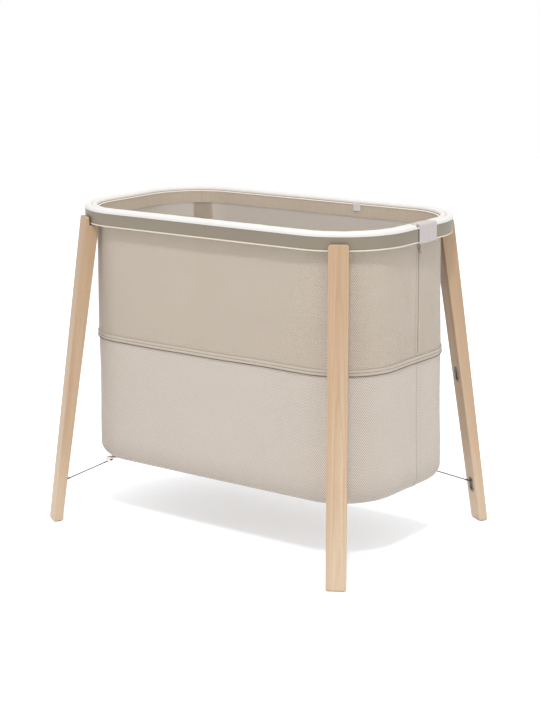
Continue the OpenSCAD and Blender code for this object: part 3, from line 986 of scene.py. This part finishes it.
def makeSeams():
    band = sweep("seam_binding_band", bindingSection(), wave=bindingWave, step=binding["step"], smooth=60)
    paint(band, finish["binding"])
    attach(band, "stand")
    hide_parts("seam_binding")
    # a dark cord under the binding: painted shadow of its lower edge
    under = wallPlan["seam"] - wallPlan["bindingHalf"] - binding["shadowLineDrop"]
    cord = roundSection(binding["shadowLineInset"], under, binding["shadowLineRadius"], 8)
    edge = sweep("seam_shadow_line", cord, wave=bindingWave, step=binding["step"])
    paint(edge, finish["paintedShadowThread"])
    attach(edge, "stand")
    # the middle stitches are dark too: painted shade of the groove between the ridges
    stitches = planStitches("seam_stitches", binding["stitchInset"], wallPlan["seam"],
                            binding["stitchGap"], binding["stitch"])
    paint(stitches, finish["paintedShadowThread"])
    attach(stitches, "stand")


stretch = makeWalls()
makeSeams()
print("walls and middle seam made")


panPlan = {
    "inset": 0.0222, "radius": 0.030, "skin": 0.0018, "turnSteps": 12,
    "loops": (0.02, 0.06), "lastLoop": 0.171,  # the flat floor's loops, and the last one's inset
}


def makePan():
    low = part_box("floor_pan")[0].z
    radius, inset = panPlan["radius"], panPlan["inset"]
    arc = [math.pi / 2 * k / panPlan["turnSteps"] for k in range(panPlan["turnSteps"] + 1)]
    outer = [(inset + radius * (1 - math.cos(t)), low + radius * (1 - math.sin(t))) for t in arc]
    inside = radius - panPlan["skin"]
    inner = [(inset + radius - inside * math.cos(t), low + radius - inside * math.sin(t)) for t in arc]
    core, way, length, run = planColumns()
    flats = [inset + radius + d for d in panPlan["loops"]] + [panPlan["lastLoop"]]
    section = outer + [(f, low) for f in flats]
    back = [(f, low + panPlan["skin"]) for f in reversed(flats)] + inner[::-1]
    points, faces, cloth = [], [], []
    count = len(core)
    ring = section + back
    rows = len(ring)
    depth = [0.0]
    for a, b in zip(ring, ring[1:]):
        depth.append(depth[-1] + math.hypot(b[0] - a[0], b[1] - a[1]))
    for c, w in zip(core, way):
        points += [planPoint(c, w, f, z) for f, z in ring]
    for i in range(count):
        j = (i + 1) % count
        u0, u1 = length[i], length[j] if j else run
        for k in range(rows):
            m = (k + 1) % rows
            if k == len(section) - 1:
                continue  # the two floors are closed by one face each, below
            v0, v1 = depth[k], depth[m] if m else depth[k] + panPlan["skin"]
            faces.append((i * rows + k, j * rows + k, j * rows + m, i * rows + m))
            cloth += [(u0, v0), (u1, v0), (u1, v1), (u0, v1)]
    for row in (len(section) - 1, len(section)):
        loop = [i * rows + row for i in range(count)]
        faces.append(tuple(loop))
        cloth += [(points[v][0], points[v][1]) for v in loop]
    pan = meshObject("basket_bottom", points, faces, cloth, 50)
    outward(pan)
    paint(pan, finish["lowerMesh"])
    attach(pan, "bed_base")
    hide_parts("floor_pan")


makePan()
print("bottom made")


coverPlan = {
    "outer": -0.0007, "inner": 0.0305, "foot": 0.7801, "overhang": 0.0024,
    "outerBead": (0.0085, 0.0075), "innerBead": (0.0240, 0.0068),  # middle's inset and height of each roll
    "split": 0.0168, "swell": 0.0006,  # the groove between the rolls, and how far both stand off the foot
    "creaseSize": 0.0046, "creaseDepth": 0.0062,
    "tabMiddle": 0.014, "tabReach": 0.036, "tabPress": 0.26,
    "facing": 0.0322, "facingTop": 0.7785, "facingHeight": 0.0310, "facingThick": 0.0007,
    # a dark cord along the ends' crease, for painted shade
    "creaseShadowPath": (0.0012, 0.0282, 24), "creaseShadowSink": 0.0034, "creaseShadowRadius": 0.0014,
    "beadInset": 0.0322, "beadLift": 0.0006, "beadRadius": 0.0021,
    "pipingInset": 0.0023, "pipingRadius": 0.0019, "shadowLineRadius": 0.0007,
    "step": 0.003, "cordStep": 0.006,
}


def coverHeight(inset):
    # two soft rolls side by side, with a groove between them
    middleA, riseA = coverPlan["outerBead"]
    middleB, riseB = coverPlan["innerBead"]
    split = coverPlan["split"]
    if inset <= split:
        span = middleA - coverPlan["outer"] if inset < middleA else (split - middleA) * 1.12
        return riseA * math.sqrt(max(0.0, 1 - ((inset - middleA) / span) ** 2))
    span = coverPlan["inner"] - middleB if inset > middleB else (middleB - split) * 1.12
    return riseB * math.sqrt(max(0.0, 1 - ((inset - middleB) / span) ** 2))


def coverSection():
    steps = 44
    span = coverPlan["inner"] - coverPlan["outer"]
    top = []
    for k in range(steps + 1):
        share = (1 - math.cos(math.pi * k / steps)) / 2
        inset = coverPlan["outer"] + span * share
        top.append((inset, coverPlan["foot"] + coverPlan["swell"] + coverHeight(inset)))
    hang = coverPlan["foot"] - coverPlan["overhang"]
    lip = [(0.0030, coverPlan["foot"]), (0.0008, hang + 0.0004), (0.0, hang)]
    lip.append((coverPlan["outer"] + 0.0001, hang + 0.0004))
    return top + [(coverPlan["inner"] - 0.0004, coverPlan["foot"])] + lip


def creaseLine(inset):
    # where the cover's ends meet, beside the tab, as a place across the rim's right end
    return -0.0255 - 0.026 * np.clip(inset / 0.030, 0, 1) ** 1.8


def coverWave(along, reach, height):
    # soft puffs, flattened under the tab, with a curved crease where the ends meet beside it
    fromMiddle = fromEnd(along)
    puff = 1 + ripple(along, (37, 0.5, 0.02), (61, 1.4, 0.02), (17, 2.6, 0.02))
    under = np.clip(1 - np.abs(fromMiddle - coverPlan["tabMiddle"]) / coverPlan["tabReach"], 0, 1)
    under = np.clip(under * 9, 0, 1)
    bend = creaseLine(reach)
    crease = np.exp(-((fromMiddle - bend) / coverPlan["creaseSize"]) ** 2)
    rise = np.maximum(height - coverPlan["foot"], 0) * puff
    groove = np.minimum(crease * coverPlan["creaseDepth"], rise * 0.9)
    rise = rise * (1 - under * coverPlan["tabPress"]) - groove
    return reach, np.minimum(height, coverPlan["foot"]) + rise


def facingSection():
    # the cover's inner hem, a strip that hangs inside the wall
    steps, thick = 8, coverPlan["facingThick"]
    top, drop = coverPlan["facingTop"], coverPlan["facingHeight"]
    face = [(coverPlan["facing"], top - drop * k / steps) for k in range(steps + 1)]
    return face + [(inset + thick, z) for inset, z in reversed(face)]


def facingWave(along, reach, height):
    # gathered where it is sewn under the roll
    gather = ripple(along, (263, 0.3, 0.0004), (181, 1.2, 0.0003), (97, 2.1, 0.0002))
    return reach + gather, height


def makeCover():
    cover = sweep("rim_cover_roll", coverSection(), wave=coverWave, step=coverPlan["step"], smooth=70)
    paint(cover, finish["cover"])
    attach(cover, "stand")
    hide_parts("rim_cover")
    # a dark cord sunk along the crease where the cover's ends meet: painted shade in the crease
    line = []
    start, reach, steps = coverPlan["creaseShadowPath"]
    for k in range(steps + 1):
        inset = start + reach * k / steps
        rise = coverPlan["swell"] + coverHeight(inset)
        sunk = max(coverPlan["creaseShadowRadius"], rise - coverPlan["creaseShadowSink"])
        line.append((rimPlan["halfLength"] - inset, creaseLine(inset), coverPlan["foot"] + sunk))
    ending = tube("cover_end_crease_shadow", line, coverPlan["creaseShadowRadius"], 8)
    paint(ending, finish["paintedShadowThread"])
    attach(ending, "stand")
    # a grey cord in the groove between the rolls: painted shade in the groove
    split = coverPlan["split"]
    groove = coverPlan["foot"] + coverHeight(split) + coverPlan["swell"]
    thread = roundSection(split, groove, coverPlan["shadowLineRadius"], 8)
    crease = sweep("cover_groove_shade_cord", thread, step=coverPlan["cordStep"])
    paint(crease, finish["paintedGrooveShade"])
    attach(crease, "stand")
    low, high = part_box("cover_bead")
    middle = (low.z + high.z) / 2 + coverPlan["beadLift"]
    cord = roundSection(coverPlan["beadInset"], middle, coverPlan["beadRadius"])
    bead = sweep("cover_bead_cord", cord, step=coverPlan["cordStep"])
    paint(bead, finish["bead"])
    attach(bead, "stand")
    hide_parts("cover_bead")
    low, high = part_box("lower_piping")
    cord = roundSection(coverPlan["pipingInset"], (low.z + high.z) / 2, coverPlan["pipingRadius"])
    piping = sweep("lower_piping_cord", cord, step=coverPlan["cordStep"])
    paint(piping, finish["piping"])
    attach(piping, "stand")
    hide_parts("lower_piping")
    flap = sweep("cover_facing", facingSection(), step=coverPlan["step"], wave=facingWave)
    paint(flap, finish["facing"])
    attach(flap, "stand")


makeCover()
print("cover made")


tabPlan = {
    "thick": 0.0013, "turn": 0.0045, "hem": 0.0032,
    "pitch": 0.0034, "stitch": (0.0024, 0.0006, 0.00035),  # spacing, then length, width and rise
    "stripProud": 0.0004, "stripGap": 0.0018, "stripFoot": 0.0015, "stripHeight": 0.028,
}


def makeTab():
    low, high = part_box("rim_tab")
    thick = tabPlan["thick"]
    outerX, topZ = high.x - thick / 2, high.z - thick / 2
    turn = tabPlan["turn"]
    path = [(low.x + (outerX - turn - low.x) * k / 8, topZ - 0.0005 * (1 - k / 8)) for k in range(8)]
    for k in range(9):
        bend = math.pi / 2 * k / 8
        path.append((outerX - turn + turn * math.sin(bend), topZ - turn * (1 - math.cos(bend))))
    path += [(outerX, topZ - turn - (topZ - turn - low.z) * k / 12) for k in range(1, 13)]
    middle = (low.y + high.y) / 2
    width = high.y - low.y
    line = [Vector((x, middle, z)) for x, z in path]

    def bulge(length, share):
        hem = max(0.0, 1 - min(share, 1 - share) * width / tabPlan["hem"])
        swell = 0.00025 * math.sin(share * 9.0 + length * 60) + 0.0002 * math.sin(share * 23 + length * 31)
        return swell * (1 - hem)

    tab = ribbon("rim_tab_twill", line, (0, -1, 0), width, thick, 26, bulge)
    paint(tab, finish["tab"])
    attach(tab, "tab")
    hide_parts("rim_tab")
    places = []
    pitch = tabPlan["pitch"]
    for k in range(int((topZ - low.z - 0.010) / pitch)):
        z = topZ - 0.007 - k * pitch
        for y in (low.y + tabPlan["hem"], high.y - tabPlan["hem"]):
            places.append(((outerX + thick / 2, y, z), (0, 0, 1), (1, 0, 0)))
    for k in range(int((width - 2 * tabPlan["hem"]) / pitch)):
        y = low.y + tabPlan["hem"] + pitch / 2 + k * pitch
        places.append(((outerX + thick / 2, y, low.z + tabPlan["hem"]), (0, 1, 0), (1, 0, 0)))
        places.append(((outerX + thick / 2, y, topZ - 0.0055), (0, 1, 0), (1, 0, 0)))
    stitches = stitchRow("tab_stitches", places, tabPlan["stitch"])
    paint(stitches, finish["thread"])
    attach(stitches, "tab")


def makeTabShadowStrip():
    # a dark strip beside the tab's edge: painted shadow of the tab and the gap beside it
    face = rimPlan["halfLength"] + tabPlan["stripProud"]
    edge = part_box("rim_tab")[0].y - tabPlan["stripGap"]
    foot = bandFoot + tabPlan["stripFoot"]
    line = [(face, edge, foot + tabPlan["stripHeight"] * k / 12) for k in range(13)]
    strip = ribbon("tab_shadow_strip", line, (0, 1, 0), 0.0030, 0.0007, 4)
    paint(strip, finish["tabEdgeShadow"])
    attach(strip, "stand")


labelPlan = {"thick": 0.0005, "proud": 0.0042, "lift": 0.008}  # hangs in front of the cover's hem


def makeLabel():
    low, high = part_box("hanging_label")
    middle = (low.x + high.x) / 2
    thick, proud = labelPlan["thick"], labelPlan["proud"]
    near, far = low.y + thick - proud, high.y - thick - proud
    top = high.z + labelPlan["lift"]
    radius = (far - near) / 2
    foot = low.z + labelPlan["lift"] + radius
    path = [Vector((middle, near, top - (top - foot) * k / 8)) for k in range(9)]
    for k in range(1, 8):
        turn = math.pi * k / 8
        path.append(Vector((middle, near + radius - radius * math.cos(turn), foot - radius * math.sin(turn))))
    path += [Vector((middle, far, foot + (top - foot) * k / 8)) for k in range(9)]
    label = ribbon("hanging_label_tape", path, (1, 0, 0), high.x - low.x, thick, 10)
    paint(label, finish["label"])
    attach(label, "stand")
    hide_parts("hanging_label")


makeTab()
makeTabShadowStrip()
makeLabel()
print("tab and label made")


zipPlan = {
    "coilPitch": 0.0016, "wire": 0.00028, "ridge": 0.0007,
    "coilLift": 0.0007, "coilRise": 0.0005, "coilReach": 0.0010, "coilGap": 0.0009,
    "lowerTop": 0.4586, "lowerFoot": 0.1822, "footLift": 0.0004,  # the felled seam below the binding
    "innerTop": 0.7435, "innerFoot": 0.475, "innerPlace": -0.025, "innerWidth": 0.006,
}


def coil(name, foot, top, side, face):
    # one side of a coil zip: a nylon wire wound into flat loops along the tape
    perTurn = 8
    turns = int((top - foot) / zipPlan["coilPitch"])
    centre = []
    for k in range(turns * perTurn + 1):
        turn = 2 * math.pi * k / perTurn
        x = face + zipPlan["coilLift"] + zipPlan["coilRise"] * math.sin(turn)
        y = side + zipPlan["coilReach"] * math.cos(turn)
        centre.append((x, y, foot + zipPlan["coilPitch"] * k / perTurn))
    return tube(name, centre, zipPlan["wire"])


def join(name, pieces):
    # one object from several meshes
    work = bmesh.new()
    for piece in pieces:
        work.from_mesh(piece.data)
        bpy.data.objects.remove(piece)
    return solid(name, work, None, 60)


def seamRibbon(name, insetAt, top, foot, y, width, thick, lift, side=1, ridges=None):
    # an upright strip on the outside of an end wall, or inside it where lift is negative
    steps = int((top - foot) / 0.004)
    path = []
    for k in range(steps + 1):
        z = top + (foot - top) * k / steps
        path.append(Vector((side * (rimPlan["halfLength"] - float(insetAt(z)) + lift), y, z)))
    return ribbon(name, path, (0, -side, 0), width, thick, 12, ridges)


def doubleRidge(length, share):
    # a felled seam stands up along both its edges
    edges = math.exp(-((share - 0.08) / 0.05) ** 2) + math.exp(-((share - 0.92) / 0.05) ** 2)
    return zipPlan["ridge"] * edges


def makeZip():
    low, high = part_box("zip_tape")
    middle, width = (low.y + high.y) / 2, high.y - low.y
    tape = seamRibbon("zip_tape_cloth", upperInset, high.z, low.z, middle, width,
                      thick=0.0005, lift=0.0003, ridges=doubleRidge)
    paint(tape, finish["tape"])
    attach(tape, "stand")
    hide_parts("zip_tape")
    low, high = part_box("zip_teeth")
    line = (low.y + high.y) / 2
    sides = [coil("coil", low.z, high.z, line + s * zipPlan["coilGap"], low.x) for s in (-1, 1)]
    teeth = join("zip_coil_teeth", sides)
    outward(teeth)
    paint(teeth, finish["zip"])
    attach(teeth, "stand")
    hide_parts("zip_teeth")
    lower = seamRibbon("lower_end_seam", lowerInset, zipPlan["lowerTop"], zipPlan["lowerFoot"], middle, width,
                       thick=0.0007, lift=0.0006, ridges=doubleRidge)
    paint(lower, finish["lowerMesh"])
    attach(lower, "stand")
    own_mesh(lower)
    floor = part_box("floor_pan")[0].z
    edge = rimPlan["halfLength"] - panPlan["inset"]
    radius = panPlan["radius"]
    lift, steps = zipPlan["footLift"], 12
    path = []
    for k in range(steps + 1):
        turn = math.pi / 2 * k / steps
        x = edge - radius * (1 - math.cos(turn)) + lift * math.cos(turn)
        z = floor + radius * (1 - math.sin(turn)) - lift * math.sin(turn)
        path.append(Vector((x, middle, z)))
    path += [Vector((edge - radius - 0.012 * k, middle, floor - lift)) for k in (1, 2)]
    foot = ribbon("bottom_end_seam", path, (0, -1, 0), width, 0.0007, 12, doubleRidge)
    paint(foot, finish["lowerMesh"])
    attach(foot, "bed_base")
    inside = seamRibbon("left_inner_seam", plainInset, zipPlan["innerTop"], zipPlan["innerFoot"],
                        zipPlan["innerPlace"], zipPlan["innerWidth"], thick=0.0008, lift=-0.0018, side=-1)
    paint(inside, finish["binding"])
    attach(inside, "stand")


makeZip()
print("zip and end seams made")


bedding = {
    "shrink": 0.0035, "edge": 0.014, "step": 0.010, "loops": (0.03, 0.07, 0.11),  # the form before it swells
    "voxel": 0.006, "pressure": 4.0, "frames": 20, "cap": 0.005,
    "quilt": 0.058, "quiltDepth": 0.0016, "quiltWidth": 0.0035,
    "pipingInset": 0.0016, "pipingRadius": 0.0015,
}


def quiltedCotton():
    cotton = {"light": tone(212, 209, 203), "shade": tone(192, 188, 180), "pitch": 0.0012}
    recipe = Recipe("quiltedCotton", Sheen_Weight=0.2, Sheen_Roughness=0.5, Specular_IOR_Level=0.25)
    x, y, z = recipe.parts(recipe.around())
    height = weave(recipe, x + z * 0.7, y + z * 0.7, cotton["pitch"])
    fuzz = recipe.cloud(recipe.around(), 1200.0, 2.0)
    recipe.feed("Base Color", recipe.blend(height.rise(0.1, 0.8), cotton["shade"], cotton["light"]))
    recipe.feed("Roughness", 0.78 + fuzz * 0.15)
    recipe.bump(height + fuzz * 0.5, 0.00015, 0.6)
    return recipe.material


def swell(piece):
    # lets the pad fill out under pressure, then holds each point within a cap
    rest = np.array([v.co for v in piece.data.vertices])
    cloth = piece.modifiers.new("swell", "CLOTH")
    cloth.settings.quality = 5
    cloth.settings.mass = 0.3
    cloth.settings.use_pressure = True
    cloth.settings.uniform_pressure_force = bedding["pressure"]
    cloth.settings.effector_weights.gravity = 0
    cloth.point_cache.frame_start = 1
    cloth.point_cache.frame_end = bedding["frames"]
    for number in range(1, bedding["frames"] + 1):
        scene.frame_set(number)
    graph = bpy.context.evaluated_depsgraph_get()
    moved = piece.evaluated_get(graph).to_mesh()
    grown = np.array([v.co for v in moved.vertices])
    piece.evaluated_get(graph).to_mesh_clear()
    piece.modifiers.clear()
    scene.frame_set(1)
    step = grown - rest
    size = np.linalg.norm(step, axis=1, keepdims=True)
    step *= np.minimum(1, bedding["cap"] / np.maximum(size, 1e-9))
    piece.data.vertices.foreach_set("co", (rest + step).ravel())
    piece.data.update()


def makeMattress():
    low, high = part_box("mattress_cover")
    inset = rimPlan["halfLength"] - high.x
    shrink, edge = bedding["shrink"], bedding["edge"]
    top = high.z - shrink
    section = []
    for cz, start in ((top - edge, 90), (low.z + edge, 180)):
        for k in range(6):
            turn = math.radians(start + 90 * k / 5)
            section.append((inset + shrink + edge + edge * math.cos(turn), cz + edge * math.sin(turn)))
    core, way = planColumns(bedding["step"])[:2]
    points, faces = [], []
    flats = [inset + shrink + edge + d for d in bedding["loops"]]
    crown = [(flats[2], top + 0.0012), (flats[1], top + 0.001), (flats[0], top)]
    ring = crown + section + [(f, low.z) for f in flats]
    rows = len(ring)
    for c, w in zip(core, way):
        points += [planPoint(c, w, f, z) for f, z in ring]
    count = len(core)
    for i in range(count):
        j = (i + 1) % count
        for k in range(rows - 1):
            faces.append((i * rows + k, j * rows + k, j * rows + k + 1, i * rows + k + 1))
    faces.append(tuple(i * rows for i in range(count)))
    faces.append(tuple(i * rows + rows - 1 for i in reversed(range(count))))
    pad = meshObject("mattress_pad", points, faces)
    outward(pad)
    remesh = pad.modifiers.new("remesh", "REMESH")
    remesh.mode = "VOXEL"
    remesh.voxel_size = bedding["voxel"]
    bpy.context.view_layer.update()
    pad.data = bpy.data.meshes.new_from_object(pad.evaluated_get(bpy.context.evaluated_depsgraph_get()))
    pad.modifiers.clear()
    swell(pad)
    work = bmesh.new()
    work.from_mesh(pad.data)
    bmesh.ops.subdivide_edges(work, edges=work.edges[:], cuts=1, use_grid_fill=True)
    bmesh.ops.smooth_vert(work, verts=work.verts[:], factor=0.5,
                          use_axis_x=True, use_axis_y=True, use_axis_z=True)
    quilt = bedding["quilt"]
    for v in work.verts:
        x, y = v.co.x, v.co.y
        lines = [abs((value / quilt + 0.5) % 1 - 0.5) * quilt for value in (x + y, x - y)]
        dip = sum(math.exp(-(d / bedding["quiltWidth"]) ** 2) for d in lines)
        if v.co.z > high.z - 0.012:
            v.co.z -= bedding["quiltDepth"] * min(1.0, dip)
        v.co.z = min(max(v.co.z, low.z + 0.0001), high.z + 0.004)
    work.to_mesh(pad.data)
    work.free()
    pad.data.shade_smooth()
    paint(pad, quiltedCotton())
    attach(pad, "mattress")
    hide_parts("mattress_core", "mattress_cover")
    for name, z in (("mattress_top_piping", high.z - 0.008), ("mattress_foot_piping", low.z + 0.009)):
        cord = sweep(name, roundSection(inset + bedding["pipingInset"], z, bedding["pipingRadius"], 10))
        paint(cord, finish["piping"])
        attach(cord, "mattress")


makeMattress()
print("mattress made")


# CAD pieces that keep their shape, with the finish of each
kept = {
    "rim_sleeve_right": "sleeve", "rim_sleeve_left": "sleeve", "sleeve_screws": "screw", "leg_bolts": "screw",
    "bracket_screws": "screw", "anchor_screws": "screw", "keyhole_screws": "darkScrew", "base_board": "ply",
    "seam_rod": "rod", "zip_pull": "zipMetal", "zip_slider": "zipMetal",
}
for corner in corners:
    kept["foot_glide_" + corner] = "felt"
    kept["leg_bracket_" + corner] = "bracket"
    kept["keyhole_lower_" + corner] = "plate"
    kept["keyhole_upper_" + corner] = "plate"
    kept["stay_" + corner] = "wire"
    kept["stay_anchor_" + corner] = "anchor"
for node, name in kept.items():
    piece = frame["nodes"][node]
    paint(piece, finish[name])
print("kept CAD pieces painted:", len(kept))
